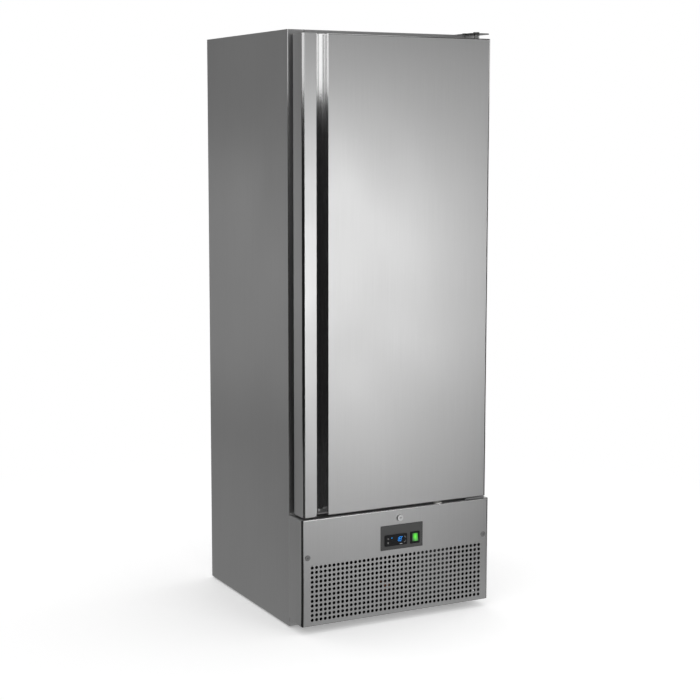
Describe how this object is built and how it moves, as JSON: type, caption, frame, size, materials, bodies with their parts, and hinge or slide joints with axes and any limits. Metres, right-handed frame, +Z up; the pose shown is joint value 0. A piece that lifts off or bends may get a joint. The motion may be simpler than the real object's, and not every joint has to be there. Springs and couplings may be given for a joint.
{
  "type": "upright refrigerator",
  "caption": "Tall stainless storage refrigerator with a solid door on a side hinge, a full-height grip channel, and a vented lower panel with controls and lock.",
  "frame": {"origin": "on the floor, under the middle of the whole refrigerator's box", "axes": "+X to the right, +Y to the back, +Z up; the door and the lower panel face -Y"},
  "size_m": [0.69, 0.75, 1.893],
  "materials": {
    "side_steel": "satin",
    "door_steel": "satin",
    "panel_steel": "satin",
    "polished_steel": "polished",
    "galvanised_steel": "matte",
    "liner_steel": "satin",
    "foam": "matte",
    "breaker_plastic": "matte",
    "wire_coating": "satin",
    "evaporator_cover_metal": "satin",
    "fin_aluminium": "satin",
    "motor_black": "satin",
    "fan_plastic": "satin",
    "fan_aluminium": "satin",
    "tube_plastic": "satin",
    "compressor_paint": "satin",
    "condenser_paint": "matte",
    "copper": "satin",
    "box_plastic": "matte",
    "black_plastic": "satin",
    "control_grey": "satin",
    "bezel_black": "gloss",
    "display_blue": "gloss",
    "key_black": "satin",
    "rocker_green": "gloss",
    "cap_grey": "satin",
    "lock_nickel": "satin",
    "hinge_dark": "satin",
    "bolt_steel": "satin",
    "bracket_steel": "satin",
    "gasket_grey": "matte",
    "nylon": "satin",
    "glide_black": "matte"
  },
  "bodies": {
    "cabinet": {"side_panel_left": "side_steel", "side_panel_right": "side_steel", "back_panel": "galvanised_steel", "top_panel": "side_steel", "machine_deck": "galvanised_steel", "base_tray": "hinge_dark", "levelling_feet": "glide_black", "cabinet_insulation": "foam", "breaker_strips": "breaker_plastic", "inner_liner": "liner_steel", "shelf_uprights": "liner_steel", "shelf_clips": "liner_steel", "wire_shelf_1": "wire_coating", "wire_shelf_2": "wire_coating", "wire_shelf_3": "wire_coating", "wire_shelf_4": "wire_coating", "evaporator_cover": "evaporator_cover_metal", "evaporator_coil": "fin_aluminium", "evaporator_fan_motor": "motor_black", "drain_tube": "tube_plastic", "temperature_probe": "black_plastic", "compressor": "compressor_paint", "condenser_coil": "condenser_paint", "condenser_fan_motor": "motor_black", "filter_drier": "copper", "refrigerant_pipes": "copper", "evaporation_tray": "tube_plastic", "electrical_box": "box_plastic", "cord_gland": "black_plastic", "rear_grille": "galvanised_steel", "lower_panel": "panel_steel", "panel_brackets": "galvanised_steel", "panel_screws": "cap_grey", "panel_ring": "nylon", "control_plate": "control_grey", "controller_case": "bezel_black", "controller_display": "display_blue", "switch_frame": "bezel_black", "lock_housing": "lock_nickel", "top_hinge_plate": "hinge_dark", "hinge_bolts": "bolt_steel", "bottom_hinge_bracket": "bracket_steel", "hinge_pins": "bolt_steel"},
    "door": {"door_outer_panel": "door_steel", "door_handle_strip": "door_steel", "door_grip_channel": "polished_steel", "door_end_caps": "cap_grey", "door_core": "foam", "door_inner_panel": "liner_steel", "door_gasket": "gasket_grey", "door_bushes": "nylon"},
    "lock": {"lock_barrel": "lock_nickel", "lock_cam": "bracket_steel"},
    "key_set": {"key_set": "key_black"},
    "key_defrost": {"key_defrost": "key_black"},
    "key_up": {"key_up": "key_black"},
    "key_down": {"key_down": "key_black"},
    "rocker": {"power_rocker": "rocker_green"},
    "evaporator_fan": {"evaporator_fan": "fan_plastic"},
    "condenser_fan": {"condenser_fan": "fan_aluminium"}
  },
  "joints": [
    {"name": "door_hinge", "type": "hinge", "parent": "cabinet", "child": "door", "pos_m": [0.304, -0.323, 0.377], "axis": [0, 0, 1], "range_deg": [0, 110]},
    {"name": "lock_turn", "type": "hinge", "parent": "cabinet", "child": "lock", "pos_m": [0.006, -0.368, 0.342], "axis": [0, -1, 0], "range_deg": [0, 90]},
    {"name": "rocker_tilt", "type": "hinge", "parent": "cabinet", "child": "rocker", "pos_m": [0.0625, -0.3672, 0.2705], "axis": [1, 0, 0], "range_deg": [0, 20]},
    {"name": "evaporator_fan_spin", "type": "hinge", "parent": "cabinet", "child": "evaporator_fan", "pos_m": [0, 0.023, 1.751], "axis": [0, 1, 0], "continuous": true},
    {"name": "condenser_fan_spin", "type": "hinge", "parent": "cabinet", "child": "condenser_fan", "pos_m": [-0.14, -0.174, 0.138], "axis": [0, 1, 0], "continuous": true},
    {"name": "key_set_press", "type": "slide", "parent": "cabinet", "child": "key_set", "axis": [0, 1, 0], "range_m": [0, 0.0005], "stiffness_N_per_m": 300},
    {"name": "key_defrost_press", "type": "slide", "parent": "cabinet", "child": "key_defrost", "axis": [0, 1, 0], "range_m": [0, 0.0005], "stiffness_N_per_m": 300},
    {"name": "key_up_press", "type": "slide", "parent": "cabinet", "child": "key_up", "axis": [0, 1, 0], "range_m": [0, 0.0005], "stiffness_N_per_m": 300},
    {"name": "key_down_press", "type": "slide", "parent": "cabinet", "child": "key_down", "axis": [0, 1, 0], "range_m": [0, 0.0005], "stiffness_N_per_m": 300}
  ]
}
